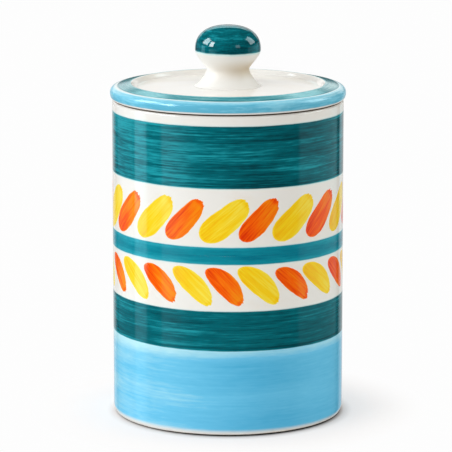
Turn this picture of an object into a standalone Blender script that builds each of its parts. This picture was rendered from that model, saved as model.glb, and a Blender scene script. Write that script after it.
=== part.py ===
"""Lidded ceramic canister: a jar, a dished lid with a hollow knob, and a silicone seal.

Every piece is turned about +Z. Units are metres. The origin is the centre of the foot, on the
surface that the jar stands on, and the canister stands upright.
"""
import math

import bmesh
import bpy

# Jar
JAR_RADIUS = 0.0600
JAR_HEIGHT = 0.1645
JAR_WALL = 0.0055
JAR_FLOOR = 0.0055
JAR_INNER_CORNER = 0.0080
RIM_OUTER_ROUND = 0.0014
RIM_INNER_ROUND = 0.0016
FOOT_INSET = 0.0016
FOOT_ROUND_HEIGHT = 0.0040
FOOT_RING_WIDTH = 0.0075
FOOT_RECESS = 0.0022
FOOT_RECESS_SLOPE = 0.0012

# Gaps between the pieces
SEAM = 0.0006
TOUCH_GAP = 0.0003

# Seal: a flat flange under the lid's seat, a band round its spigot and a wiping fin
SEAL_THICKNESS = 0.0016
SEAL_INSET = 0.0022
SEAL_BAND_WALL = 0.0010
SEAL_BAND_HEIGHT = 0.0070
SEAL_FIN_THICKNESS = 0.0009
SEAL_FIN_RISE = 0.0009

# Lid: heights are taken above the lower edge of its lip
LID_OVERHANG = 0.0011
LID_THICKNESS = 0.0045
LIP_TUCK = 0.0013
ROLL_WIDTH = 0.0035
ROLL_WIDEST_HEIGHT = 0.0030
ROLL_RISE = 0.0033
RING_WIDTH = 0.0070
RING_RISE = 0.0015
COVE_WIDTH = 0.0034
COVE_DEPTH = 0.0026
DISH_RISE = 0.0009
SPIGOT_WALL = 0.0045
SPIGOT_CLEARANCE = 0.0030
SPIGOT_BEAD = 0.0006
SPIGOT_BEAD_HEIGHT = 0.0050
SPIGOT_CORNER = 0.0030
VENT_RADIUS = 0.0040

# Knob: heights are taken above its foot
KNOB_RADIUS = 0.0170
KNOB_HEIGHT = 0.0311
KNOB_WIDEST_HEIGHT = 0.0184
KNOB_NECK_RADIUS = 0.0110
KNOB_NECK_HEIGHT = 0.0084
KNOB_FOOT_RADIUS = 0.0162
KNOB_FOOT_EDGE = 0.0005
KNOB_BORE_RADIUS = 0.0058
KNOB_HOLLOW_RADIUS = 0.0092
KNOB_CROWN_WALL = 0.0065

# Shares that shape the curves
DOME_POWER = 2.4
EASE_SHARE = 0.45
UNDERCUT_SHARES = ((0.98, 0.34), (0.0, 0.82))
FLARE_SHARES = ((1.0, 0.72), (0.31, 0.14))
HOLLOW_WIDEST_SHARE = 0.60

# Painted bands of the jar, from the foot up: the band's upper edge as a share of the jar's height
BAND_TOP_SHARES = (
    ("white", 0.0113),
    ("light_blue", 0.2677),
    ("teal", 0.3939),
    ("white", 0.5410),
    ("mid_teal", 0.5945),
    ("white", 0.7753),
    ("teal", 0.9696),
    ("white", 1.0),
)

# Glaze and silicone colours as seen, from 0 to 255, with their roughness
FINISHES = {
    "white": ((240, 236, 229), 0.16),
    "light_blue": ((104, 190, 228), 0.16),
    "teal": ((8, 108, 116), 0.16),
    "mid_teal": ((28, 146, 164), 0.16),
    "silicone": ((222, 224, 220), 0.45),
}

# Facets
BODY_SIDES = 64
KNOB_SIDES = 48
ROUND_STEPS = 4
CURVE_STEPS = 7
DOME_STEPS = 9
SMOOTH_LIMIT_DEGREES = 35.0
WELD_DISTANCE = 0.000001

# Sizes that follow from the ones above
LIP_LEVEL = JAR_HEIGHT + SEAM
JAR_INNER_RADIUS = JAR_RADIUS - JAR_WALL
FOOT_RADIUS = JAR_RADIUS - FOOT_INSET
FOOT_INNER_RADIUS = FOOT_RADIUS - FOOT_RING_WIDTH
LID_RADIUS = JAR_RADIUS + LID_OVERHANG
LIP_RADIUS = LID_RADIUS - LIP_TUCK
RIDGE_RADIUS = LID_RADIUS - ROLL_WIDTH
RIDGE_HEIGHT = ROLL_WIDEST_HEIGHT + ROLL_RISE
CREST_RADIUS = RIDGE_RADIUS - RING_WIDTH
CREST_HEIGHT = RIDGE_HEIGHT + RING_RISE
COVE_RADIUS = CREST_RADIUS - COVE_WIDTH
COVE_HEIGHT = CREST_HEIGHT - COVE_DEPTH
KNOB_SEAT_HEIGHT = COVE_HEIGHT + DISH_RISE
SEAT_HEIGHT = SEAL_THICKNESS + 2 * TOUCH_GAP - SEAM
SPIGOT_RADIUS = JAR_INNER_RADIUS - SPIGOT_CLEARANCE
SPIGOT_INNER_RADIUS = SPIGOT_RADIUS - SPIGOT_WALL
SEAL_INNER_RADIUS = SPIGOT_RADIUS + TOUCH_GAP
SEAL_BAND_RADIUS = SEAL_INNER_RADIUS + SEAL_BAND_WALL
SEAL_FLANGE_RADIUS = JAR_RADIUS - SEAL_INSET
SEAL_FIN_RADIUS = JAR_INNER_RADIUS - TOUCH_GAP
SEAL_TOP = SEAT_HEIGHT - TOUCH_GAP
SEAL_FLANGE_BOTTOM = SEAL_TOP - SEAL_THICKNESS
SEAL_BOTTOM = SEAL_TOP - SEAL_BAND_HEIGHT
SPIGOT_BEAD_TOP = SEAL_BOTTOM - TOUCH_GAP
SPIGOT_BOTTOM = SPIGOT_BEAD_TOP - SPIGOT_BEAD_HEIGHT


def clear_scene():
    for obj in list(bpy.data.objects):
        bpy.data.objects.remove(obj, do_unlink=True)


def arc(centre, radii, start_degrees, end_degrees, steps=ROUND_STEPS):
    """Points of an elliptical arc as (radius, height), both ends included."""
    points = []
    for step in range(steps + 1):
        angle = math.radians(start_degrees + (end_degrees - start_degrees) * step / steps)
        points.append((centre[0] + radii[0] * math.cos(angle), centre[1] + radii[1] * math.sin(angle)))
    return points


def curve(start, pull_start, pull_end, end, steps=CURVE_STEPS):
    """Points of a cubic curve between two points, both ends included."""
    points = []
    for step in range(steps + 1):
        t = step / steps
        weights = ((1 - t) ** 3, 3 * (1 - t) ** 2 * t, 3 * (1 - t) * t ** 2, t ** 3)
        corners = (start, pull_start, pull_end, end)
        points.append(tuple(sum(w * c[axis] for w, c in zip(weights, corners)) for axis in (0, 1)))
    return points


def between(low, high, share):
    return low + (high - low) * share


def glaze_material(name):
    """A Principled BSDF with the colour and roughness that FINISHES gives."""
    seen, roughness = FINISHES[name]
    linear = [((channel / 255 + 0.055) / 1.055) ** 2.4 for channel in seen]
    material = bpy.data.materials.new(name)
    material.use_nodes = True
    shader = material.node_tree.nodes["Principled BSDF"]
    shader.inputs["Base Color"].default_value = (*linear, 1.0)
    shader.inputs["Roughness"].default_value = roughness
    shader.inputs["Metallic"].default_value = 0.0
    material.diffuse_color = (*linear, 1.0)
    return material


def turned(name, outline, sides, is_ring):
    """Turn an outline of (radius, height) points about Z into a closed solid.

    A ring's outline is a closed loop clear of the axis. Any other outline starts and ends on it.
    """
    body = bmesh.new()
    corners = [body.verts.new((radius, 0.0, height)) for radius, height in outline]
    edges = [body.edges.new(pair) for pair in zip(corners, corners[1:])]
    if is_ring:
        edges.append(body.edges.new((corners[-1], corners[0])))
    bmesh.ops.spin(
        body,
        geom=corners + edges,
        cent=(0.0, 0.0, 0.0),
        axis=(0.0, 0.0, 1.0),
        angle=2 * math.pi,
        steps=sides,
        use_merge=True,
    )
    bmesh.ops.remove_doubles(body, verts=body.verts, dist=WELD_DISTANCE)
    bmesh.ops.recalc_face_normals(body, faces=body.faces)
    mesh = bpy.data.meshes.new(name)
    body.to_mesh(mesh)
    body.free()
    mesh.shade_smooth()
    mesh.set_sharp_from_angle(angle=math.radians(SMOOTH_LIMIT_DEGREES))
    obj = bpy.data.objects.new(name, mesh)
    bpy.context.collection.objects.link(obj)
    return obj


def jar_outline():
    """From the centre of the underside, round the foot, up the wall, over the rim and down inside."""
    underside = [(0.0, FOOT_RECESS), (FOOT_INNER_RADIUS - FOOT_RECESS_SLOPE, FOOT_RECESS)]
    foot = [(FOOT_INNER_RADIUS, 0.0)]
    foot += arc((FOOT_RADIUS, FOOT_ROUND_HEIGHT), (FOOT_INSET, FOOT_ROUND_HEIGHT), -90, 0)
    wall_top = JAR_HEIGHT - RIM_OUTER_ROUND
    band_edges = [share * JAR_HEIGHT for band, share in BAND_TOP_SHARES]
    bands = [(JAR_RADIUS, level) for level in band_edges if FOOT_ROUND_HEIGHT < level < wall_top]
    rim = arc((JAR_RADIUS - RIM_OUTER_ROUND, wall_top), (RIM_OUTER_ROUND, RIM_OUTER_ROUND), 0, 90)
    inner_round = (JAR_INNER_RADIUS + RIM_INNER_ROUND, JAR_HEIGHT - RIM_INNER_ROUND)
    rim += arc(inner_round, (RIM_INNER_ROUND, RIM_INNER_ROUND), 90, 180)
    floor_level = FOOT_RECESS + JAR_FLOOR
    corner = (JAR_INNER_RADIUS - JAR_INNER_CORNER, floor_level + JAR_INNER_CORNER)
    inside = arc(corner, (JAR_INNER_CORNER, JAR_INNER_CORNER), 0, -90)
    return underside + foot + bands + rim + inside + [(0.0, floor_level)]


def paint_jar(jar):
    """Give each row of outside faces the colour of the band that it lies in."""
    slots = {}
    for colour in ("white", "light_blue", "teal", "mid_teal"):
        slots[colour] = len(jar.data.materials)
        jar.data.materials.append(glaze_material(colour))
    for face in jar.data.polygons:
        centre = face.center
        is_outside = math.hypot(centre.x, centre.y) > FOOT_RADIUS
        share = centre.z / JAR_HEIGHT
        band = next(colour for colour, top in BAND_TOP_SHARES if share <= top)
        face.material_index = slots[band] if is_outside else slots["white"]


def make_jar():
    jar = turned("jar_body", jar_outline(), BODY_SIDES, is_ring=False)
    paint_jar(jar)
    return jar


def lid_outline():
    """From the vent's upper edge, out over the dish, ring and roll, then back in underneath."""
    dish = [(VENT_RADIUS, KNOB_SEAT_HEIGHT), (KNOB_FOOT_RADIUS, KNOB_SEAT_HEIGHT)]
    ease = EASE_SHARE * COVE_WIDTH
    cove = curve(
        (COVE_RADIUS, COVE_HEIGHT),
        (COVE_RADIUS + ease, COVE_HEIGHT),
        (CREST_RADIUS - ease, CREST_HEIGHT),
        (CREST_RADIUS, CREST_HEIGHT),
    )
    roll = arc((RIDGE_RADIUS, ROLL_WIDEST_HEIGHT), (ROLL_WIDTH, ROLL_RISE), 90, 0, CURVE_STEPS)
    lip = arc((LIP_RADIUS, ROLL_WIDEST_HEIGHT), (LIP_TUCK, ROLL_WIDEST_HEIGHT), 0, -90)[1:]
    lip_inner_radius = SEAL_FLANGE_RADIUS + TOUCH_GAP
    seat = [(lip_inner_radius, 0.0), (lip_inner_radius, SEAT_HEIGHT), (SPIGOT_RADIUS, SEAT_HEIGHT)]
    bead_radius = SPIGOT_RADIUS + TOUCH_GAP + SPIGOT_BEAD
    spigot = [
        (SPIGOT_RADIUS, SPIGOT_BEAD_TOP),
        (bead_radius, SPIGOT_BEAD_TOP),
        (bead_radius, SPIGOT_BOTTOM + SPIGOT_BEAD),
        (bead_radius - SPIGOT_BEAD, SPIGOT_BOTTOM),
        (SPIGOT_INNER_RADIUS + SPIGOT_BEAD, SPIGOT_BOTTOM),
        (SPIGOT_INNER_RADIUS, SPIGOT_BOTTOM + SPIGOT_BEAD),
    ]
    ceiling = COVE_HEIGHT - LID_THICKNESS
    corner = (SPIGOT_INNER_RADIUS - SPIGOT_CORNER, ceiling - SPIGOT_CORNER)
    underside = arc(corner, (SPIGOT_CORNER, SPIGOT_CORNER), 0, 90)
    centre = KNOB_SEAT_HEIGHT - LID_THICKNESS
    underside += [(KNOB_FOOT_RADIUS, centre), (VENT_RADIUS, centre)]
    return dish + cove + roll + lip + seat + spigot + underside


def paint_lid(lid):
    """Light blue on the roll, teal on the ring, white everywhere else."""
    for colour in ("white", "light_blue", "teal"):
        lid.data.materials.append(glaze_material(colour))
    for face in lid.data.polygons:
        centre = face.center
        radius = math.hypot(centre.x, centre.y)
        if radius > RIDGE_RADIUS and centre.z > LIP_TUCK:
            face.material_index = 1
        elif radius > CREST_RADIUS and centre.z > ROLL_WIDEST_HEIGHT:
            face.material_index = 2


def make_lid(carrier):
    lid = turned("lid", lid_outline(), BODY_SIDES, is_ring=True)
    paint_lid(lid)
    lid.parent = carrier
    return lid


def undercut_curve():
    """The knob's underside, from its widest edge in to the neck."""
    points = []
    for out_share, down_share in UNDERCUT_SHARES:
        radius = between(KNOB_NECK_RADIUS, KNOB_RADIUS, out_share)
        points.append((radius, between(KNOB_WIDEST_HEIGHT, KNOB_NECK_HEIGHT, down_share)))
    return curve(
        (KNOB_NECK_RADIUS, KNOB_NECK_HEIGHT),
        points[1],
        points[0],
        (KNOB_RADIUS, KNOB_WIDEST_HEIGHT),
    )


def flare_curve():
    """The knob's foot, from its thin edge in and up to the neck."""
    points = []
    for in_share, up_share in FLARE_SHARES:
        radius = between(KNOB_FOOT_RADIUS, KNOB_NECK_RADIUS, in_share)
        points.append((radius, between(KNOB_FOOT_EDGE, KNOB_NECK_HEIGHT, up_share)))
    return curve(
        (KNOB_FOOT_RADIUS, KNOB_FOOT_EDGE),
        points[1],
        points[0],
        (KNOB_NECK_RADIUS, KNOB_NECK_HEIGHT),
    )


def dome_points():
    """The knob's crown: a flattened dome from its widest edge up to the axis."""
    dome_height = KNOB_HEIGHT - KNOB_WIDEST_HEIGHT
    points = []
    for step in range(1, DOME_STEPS + 1):
        angle = math.pi / 2 * step / DOME_STEPS
        out = max(math.cos(angle), 0.0) ** (2 / DOME_POWER) if step < DOME_STEPS else 0.0
        up = math.sin(angle) ** (2 / DOME_POWER)
        points.append((KNOB_RADIUS * out, KNOB_WIDEST_HEIGHT + dome_height * up))
    return points


def hollow_points():
    """The inside of the hollow knob, from the axis down to its open foot."""
    hollow_top = KNOB_HEIGHT - KNOB_CROWN_WALL
    widest = KNOB_HEIGHT * HOLLOW_WIDEST_SHARE
    hollow = arc((0.0, widest), (KNOB_HOLLOW_RADIUS, hollow_top - widest), 90, 0)
    return hollow + [(KNOB_BORE_RADIUS, KNOB_NECK_HEIGHT), (KNOB_BORE_RADIUS, 0.0)]


def knob_outline():
    """From the foot's outer edge up over the crown to the axis, then down inside the hollow."""
    return [(KNOB_FOOT_RADIUS, 0.0)] + flare_curve() + undercut_curve()[1:] + dome_points()


def make_knob(carrier):
    """The knob's outside ends on the axis and so does its hollow, so the outline is one open line."""
    outside = list(reversed(knob_outline()))
    inside = list(reversed(hollow_points()))
    knob = turned("lid_knob", outside + inside, KNOB_SIDES, is_ring=False)
    for colour in ("teal", "white"):
        knob.data.materials.append(glaze_material(colour))
    for face in knob.data.polygons:
        centre = face.center
        is_crown = centre.z > KNOB_WIDEST_HEIGHT and face.normal.dot(centre) > 0.0
        face.material_index = 0 if is_crown else 1
    knob.parent = carrier
    knob.location = (0.0, 0.0, KNOB_SEAT_HEIGHT + TOUCH_GAP)
    return knob


def seal_outline():
    """A flange between rim and seat, and a band with one fin that wipes the jar's inner wall."""
    fin_level = between(SEAL_BOTTOM, SEAL_FLANGE_BOTTOM, EASE_SHARE)
    return [
        (SEAL_INNER_RADIUS, SEAL_TOP),
        (SEAL_FLANGE_RADIUS, SEAL_TOP),
        (SEAL_FLANGE_RADIUS, SEAL_FLANGE_BOTTOM),
        (SEAL_BAND_RADIUS, SEAL_FLANGE_BOTTOM),
        (SEAL_BAND_RADIUS, fin_level),
        (SEAL_FIN_RADIUS, fin_level + SEAL_FIN_RISE),
        (SEAL_FIN_RADIUS, fin_level + SEAL_FIN_RISE - SEAL_FIN_THICKNESS),
        (SEAL_BAND_RADIUS, fin_level - SEAL_FIN_THICKNESS),
        (SEAL_BAND_RADIUS, SEAL_BOTTOM),
        (SEAL_INNER_RADIUS, SEAL_BOTTOM),
    ]


def make_seal(carrier):
    seal = turned("seal_ring", seal_outline(), BODY_SIDES, is_ring=True)
    seal.data.materials.append(glaze_material("silicone"))
    seal.parent = carrier
    return seal


def make_lid_carrier():
    """An empty on the axis that the lid lifts along, level with the lower edge of the lid's lip."""
    carrier = bpy.data.objects.new("lid_axis", None)
    bpy.context.collection.objects.link(carrier)
    carrier.location = (0.0, 0.0, LIP_LEVEL)
    return carrier


def main():
    clear_scene()
    make_jar()
    carrier = make_lid_carrier()
    make_lid(carrier)
    make_knob(carrier)
    make_seal(carrier)
    bpy.context.view_layer.update()


main()
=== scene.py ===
"""Looks for the lidded ceramic canister: turned pieces, brushed glazes, studio light and camera.

Units are metres, +Z is up, and the photographed view looks along +Y. Angles round the canister are
zero at the front and grow to the right.
"""

import math
import random

import bpy
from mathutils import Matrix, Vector


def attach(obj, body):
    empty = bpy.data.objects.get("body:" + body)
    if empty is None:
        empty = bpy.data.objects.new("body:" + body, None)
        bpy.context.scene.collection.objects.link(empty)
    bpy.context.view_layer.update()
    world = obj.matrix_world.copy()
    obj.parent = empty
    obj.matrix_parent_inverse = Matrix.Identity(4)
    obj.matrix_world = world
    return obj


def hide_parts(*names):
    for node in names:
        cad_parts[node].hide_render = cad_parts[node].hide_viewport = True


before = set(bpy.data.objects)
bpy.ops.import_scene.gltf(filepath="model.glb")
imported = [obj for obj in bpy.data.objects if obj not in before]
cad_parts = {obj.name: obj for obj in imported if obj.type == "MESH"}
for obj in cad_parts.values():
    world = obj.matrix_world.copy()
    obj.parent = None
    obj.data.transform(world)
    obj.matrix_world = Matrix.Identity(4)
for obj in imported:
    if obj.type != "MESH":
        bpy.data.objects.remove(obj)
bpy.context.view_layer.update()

# Jar, as packed
JAR_RADIUS = 0.0600
JAR_HEIGHT = 0.1645
JAR_WALL = 0.0055
JAR_FLOOR = 0.0055
JAR_INNER_CORNER = 0.0080
RIM_OUTER_ROUND = 0.0014
RIM_INNER_ROUND = 0.0016
FOOT_INSET = 0.0016
FOOT_ROUND_HEIGHT = 0.0040
FOOT_RING_WIDTH = 0.0075
FOOT_RECESS = 0.0022
FOOT_RECESS_SLOPE = 0.0012
SEAM = 0.0006
TOUCH_GAP = 0.0003

# Seal, as packed
SEAL_THICKNESS = 0.0016
SEAL_INSET = 0.0022
SEAL_BAND_WALL = 0.0010
SEAL_BAND_HEIGHT = 0.0070
SEAL_FIN_THICKNESS = 0.0009
SEAL_FIN_RISE = 0.0009

# Lid, as packed: heights above the lower edge of its lip
LID_OVERHANG = 0.0011
LID_THICKNESS = 0.0045
LIP_TUCK = 0.0013
ROLL_WIDTH = 0.0035
ROLL_WIDEST_HEIGHT = 0.0030
ROLL_RISE = 0.0033
RING_WIDTH = 0.0070
RING_RISE = 0.0015
COVE_WIDTH = 0.0034
COVE_DEPTH = 0.0026
DISH_RISE = 0.0009
SPIGOT_WALL = 0.0045
SPIGOT_CLEARANCE = 0.0030
SPIGOT_BEAD = 0.0006
SPIGOT_BEAD_HEIGHT = 0.0050
SPIGOT_CORNER = 0.0030
VENT_RADIUS = 0.0040

# Knob, as packed: heights above its foot
KNOB_RADIUS = 0.0170
KNOB_HEIGHT = 0.0311
KNOB_WIDEST_HEIGHT = 0.0184
KNOB_NECK_RADIUS = 0.0110
KNOB_NECK_HEIGHT = 0.0084
KNOB_FOOT_RADIUS = 0.0162
KNOB_FOOT_EDGE = 0.0005
KNOB_BORE_RADIUS = 0.0058
KNOB_HOLLOW_RADIUS = 0.0092
KNOB_CROWN_WALL = 0.0065
DOME_POWER = 2.4
EASE_SHARE = 0.45
UNDERCUT_SHARES = ((0.0, 0.18), (0.98, 0.66))
FLARE_SHARES = ((0.31, 0.14), (1.0, 0.72))
HOLLOW_WIDEST_SHARE = 0.60

# Sizes that follow
LIP_LEVEL = JAR_HEIGHT + SEAM
JAR_INNER_RADIUS = JAR_RADIUS - JAR_WALL
FOOT_RADIUS = JAR_RADIUS - FOOT_INSET
FOOT_INNER_RADIUS = FOOT_RADIUS - FOOT_RING_WIDTH
LID_RADIUS = JAR_RADIUS + LID_OVERHANG
LIP_RADIUS = LID_RADIUS - LIP_TUCK
RIDGE_RADIUS = LID_RADIUS - ROLL_WIDTH
RIDGE_HEIGHT = ROLL_WIDEST_HEIGHT + ROLL_RISE
CREST_RADIUS = RIDGE_RADIUS - RING_WIDTH
CREST_HEIGHT = RIDGE_HEIGHT + RING_RISE
COVE_RADIUS = CREST_RADIUS - COVE_WIDTH
COVE_HEIGHT = CREST_HEIGHT - COVE_DEPTH
KNOB_SEAT_HEIGHT = COVE_HEIGHT + DISH_RISE
KNOB_LEVEL = LIP_LEVEL + KNOB_SEAT_HEIGHT + TOUCH_GAP
SEAT_HEIGHT = SEAL_THICKNESS + 2 * TOUCH_GAP - SEAM
SPIGOT_RADIUS = JAR_INNER_RADIUS - SPIGOT_CLEARANCE
SPIGOT_INNER_RADIUS = SPIGOT_RADIUS - SPIGOT_WALL
SEAL_INNER_RADIUS = SPIGOT_RADIUS + TOUCH_GAP
SEAL_BAND_RADIUS = SEAL_INNER_RADIUS + SEAL_BAND_WALL
SEAL_FLANGE_RADIUS = JAR_RADIUS - SEAL_INSET
SEAL_FIN_RADIUS = JAR_INNER_RADIUS - TOUCH_GAP
SEAL_TOP = SEAT_HEIGHT - TOUCH_GAP
SEAL_FLANGE_BOTTOM = SEAL_TOP - SEAL_THICKNESS
SEAL_BOTTOM = SEAL_TOP - SEAL_BAND_HEIGHT
SPIGOT_BEAD_TOP = SEAL_BOTTOM - TOUCH_GAP
SPIGOT_BOTTOM = SPIGOT_BEAD_TOP - SPIGOT_BEAD_HEIGHT

# Mesh density: sides round each piece, and steps along the parts of its outline
JAR_SIDES = 288
LID_SIDES = 288
KNOB_SIDES = 160
WALL_STEPS = 40
CURVE_STEPS = 24
DISH_STEPS = 16
ROUND_STEPS = 14
CORNER_STEPS = 12
EDGE_STEPS = 10
SLIP_STEPS = 8
FLAT_STEPS = 6
SEAT_STEPS = 4
SMOOTH_LIMIT_DEGREES = 40.0

# Scale of the walls' hand-made swell, and how much colour map a part without pattern gets
JAR_SWELL = 0.00005
LID_SWELL = 0.00004
PLAIN_ROOM_SHARE = 0.2

# Colours as seen, from 0 to 255. Brushed ones are given for three loads of colour: where little
# lies, where it is even and where much does.
WHITE = (243, 242, 239)
WARM_WHITE = (241, 236, 228)
NECK_POOL_AND_SHADE_WHITE = (214, 198, 172)
TEAL_FRINGE = (204, 238, 238)
RIDGE_GLAZE_AND_HIGHLIGHT = (236, 248, 250)
GROUND = (WHITE, WHITE, WARM_WHITE)
TEAL = ((30, 158, 172), (0, 104, 116), (0, 68, 78))
MID_TEAL = ((48, 172, 192), (16, 144, 164), (0, 116, 140))
BLUE = ((188, 237, 250), (112, 203, 242), (80, 182, 227))
LID_TEAL = ((140, 202, 208), (82, 162, 174), (40, 128, 142))
LID_BLUE = ((192, 238, 252), (140, 216, 242), (98, 188, 220))
ORANGE = ((255, 146, 16), (255, 96, 0), (232, 54, 0))
YELLOW = ((255, 234, 84), (255, 216, 30), (252, 184, 8))
# Unglazed clay, dark enough to serve also as painted shade in the seam and where the foot stands
CLAY_AND_SHADE = ((150, 126, 102), (116, 92, 70), (84, 64, 48))
SILICONE = ((226, 228, 224), (214, 216, 212), (200, 203, 200))
THIN_LOAD = 0.22
EVEN_LOAD = 0.50
THICK_LOAD = 0.78

# Streaks and patches: their length round the canister and their width across the brush
TEAL_STREAK = (0.030, 0.0008)
MID_TEAL_STREAK = (0.022, 0.0010)
LONG_BLUE_STREAK = (0.040, 0.0012)
SHORT_BLUE_STREAK = (0.007, 0.0012)
BLUE_PATCH = (0.120, 0.016)
RING_STREAK = (0.012, 0.0009)
ROLL_STREAK = (0.018, 0.0012)
CROWN_STREAK = (0.006, 0.0008)
GROUND_PATCH = (0.020, 0.012)
GLOSS_PATCH = (0.006, 0.006)
SLOW_RIPPLE = (0.011, 0.011)
FINE_RIPPLE = (0.0026, 0.0026)
CLAY_GRIT = (0.0008, 0.0008)
SILICONE_GRAIN = (0.0006, 0.0006)
SILICONE_BLOOM = (0.015, 0.004)
JAR_WAVER = (0.014, 0.020)
LID_WAVER = (0.012, 0.020)
KNOB_WAVER = (0.006, 0.020)

# How far painted and glazed edges waver
JAR_EDGE_WAVER = 0.00045
FOOT_EDGE_WAVER = 0.0004
LID_EDGE_WAVER = 0.0005
LIP_EDGE_WAVER = 0.0004
KNOB_EDGE_WAVER = 0.0006

# How high each relief stands
SLOW_RIPPLE_HEIGHT = 0.00005
FINE_RIPPLE_HEIGHT = 0.000004
GRIT_HEIGHT = 0.00005
DAB_HEIGHT = 0.00004
JAR_BRUSH_HEIGHT = 0.000012
LID_BRUSH_HEIGHT = 0.000010
KNOB_BRUSH_HEIGHT = 0.000008
SILICONE_GRAIN_HEIGHT = 0.000010

# Roughness from least to most, and what some places add to it
GLAZE_ROUGHNESS = (0.085, 0.135)
KNOB_ROUGHNESS = (0.05, 0.09)
SILICONE_ROUGHNESS = (0.36, 0.51)
ROLL_ROUGHER = 0.07
NECK_ROUGHER = 0.40
CLAY_ROUGHER = 0.55
GLAZE_IOR = 1.5
SILICONE_GLOW_SHARE = 0.25
SILICONE_GLOW_DEPTHS = (0.0012, 0.0012, 0.0011)

# Painted bands of the jar, from the foot up: heights of their edges at the front. The edges were
# drawn by hand on a wheel, and fall a little from the left side to the right.
FOOT_WHITE = 0.0022
FOOT_WHITE_SOFTNESS = 0.0013
BLUE_TOP = 0.0440
LOWER_TEAL_TOP = 0.06465
LOWER_WHITE_TOP = 0.08865
MID_TEAL_TOP = 0.09762
UPPER_WHITE_TOP = 0.12745
UPPER_TEAL_TOP = 0.15922
BAND_DROOP = 0.00044
RIM_DROOP = 0.00010
EDGE_SOFTNESS = 0.00012
FRINGE = 0.0006
FRINGE_SHARE = 0.55

# Where the clear glaze starts above the foot, ends below the rim and starts above the lid's edge.
# The clay left unglazed there is dark, and partly paints the shade in the seam under the lid and
# along the line where the foot stands
FOOT_GLAZE_START = (0.0003, 0.0005)
RIM_GLAZE_END = (0.0002, 0.0001)
LIP_GLAZE_START = 0.0001

# Painted shade: brushed colour lies thinner and lighter on the jar's left, where the light falls, and
# thicker and darker towards its right. It lies thicker round one place in front as well
SIDE_SHADE = 0.075
FULL_PLACE = 0.016
FULL_HALF_WIDTH = 0.042
FULL_LOAD = 0.10
TEAL_THINNING = 0.03
LOWER_TEAL_CONTRAST = 0.75

# Streaks along the lower edges of the teal bands: height, half width, and how much more colour
LOWER_EDGE_STREAK = 0.0013
EDGE_STREAKS = (
    (UPPER_WHITE_TOP + LOWER_EDGE_STREAK, 0.0007, 0.16),
    (BLUE_TOP + LOWER_EDGE_STREAK, 0.0007, 0.12),
    (UPPER_WHITE_TOP, 0.0007, -0.30),
    (BLUE_TOP, 0.0006, -0.20),
)

# The thin teal band between the dabs, where colour pools along the middle
MID_TEAL_CONTRAST = 0.5
MID_TEAL_LOAD = 0.37
MID_TEAL_POOL = 0.26
MID_TEAL_POOL_HALF_WIDTH = 0.0048

# The light blue band, which pales in patches below its upper edge
BLUE_LOAD = 0.51
# How strongly the painted side shade darkens the blue band towards the right
BLUE_SIDE_SHADE = 1.4
PALE_SHARE = 0.25
PALE_DEPTHS = (0.0070, 0.0005)
PALE_WAVER = 0.003

# The lid's teal ring and light blue roll, with a white line along the ridge between them, and how
# far up from its lower edge the lip is white. The ridge line is partly glaze thin over the ridge and
# partly a painted highlight, which widens towards the left, where the light falls.
RING_CONTRAST = 0.9
RING_EDGES = ((CREST_RADIUS, -0.25), (RIDGE_RADIUS - 0.0008, 0.22))
RING_EDGE_HALF_WIDTH = 0.0009
RING_INSET = 0.0004
ROLL_CONTRAST = 0.7
ROLL_LOAD = 0.28
ROLL_DARKER_DOWN = 0.42
ROLL_INSET = 0.0001
ROLL_MATT_WIDTH = 0.0006
RIDGE_LINE_OFFSET = 0.0003
RIDGE_LINE_HALF_WIDTH = 0.0008
RIDGE_HIGHLIGHT_WIDENING = 0.009
LIP_WHITE_TOP = 0.0009
LIP_WHITE_SOFTNESS = 0.00035

# The knob's painted crown: how high its lower edge lies and how far it falls to the right side, and
# painted shade that darkens its colour towards the right and just above the edge. The bore and
# hollow inside aren't painted.
KNOB_PAINT_HEIGHT = 0.0179
KNOB_BAND_DROOP = 0.0002
KNOB_CONTRAST = 0.8
KNOB_SIDE_SHADE = 0.08
KNOB_EDGE_THINNING = 0.35
KNOB_EDGE_HALF_WIDTH = 0.0010
KNOB_LOWER_SHADE = 0.14
KNOB_LOWER_SHADE_HEIGHTS = (0.001, 0.009)
KNOB_FRINGE_SHARE = 0.8
CROWN_STREAK_SLOPE = 0.7
KNOB_BORE_EDGE = 0.0002
KNOB_TOP_DEPTHS = (0.0020, 0.0015)

# Clear glaze pools round the knob's neck, and its browner colour there is partly painted shade: it
# grows towards the right, under the crown, and is gone on the left. Slip joins its foot to the dish
POOL_AND_SHADE_MIDDLE = KNOB_NECK_HEIGHT * 1.1
POOL_AND_SHADE_HALF_HEIGHT = KNOB_NECK_HEIGHT * 0.8
KNOB_SLIP_WIDTH = 0.0012

# Two rows of dabs, yellow and orange in turn. Of each pair of values, the first is the lower row's.
# The front dabs, of which the first lies four pitches left of the middle, have the angles and the
# leans from upright that the photograph shows, and the others go on with the same pitch.
DABS_ROUND = 20
PITCH_DEGREES = 360 / DABS_ROUND
PITCH_LENGTH = math.radians(PITCH_DEGREES) * JAR_RADIUS
FIRST_DAB = -4
MEAN_LEAN_DEGREES = 47.5
SHEAR = math.tan(math.radians(MEAN_LEAN_DEGREES))
MOST_SHIFT_DEGREES = 4.0
MOST_LEAN_CHANGE_DEGREES = 6.0
MOST_RISE = 0.0003
ROWS_MEET = (0.0931, 0.0932)
ROW_HEIGHTS = (0.0771, 0.1112)
ROW_TURNS_DEGREES = (-2.0, -3.0)
ROW_ANGLES = (
    (-70, -53, -36, -18, -2, 15, 33, 50, 68, 85),
    (-76, -59, -39, -22, -2, 15, 34, 52, 71),
)
ROW_LEANS = (
    (46, 49, 49, 48, 44, 48, 50, 53, 49, 48),
    (46, 45, 46, 44, 51, 43, 50, 45, 46),
)
ROW_SEEDS = (453, 1010)

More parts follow.
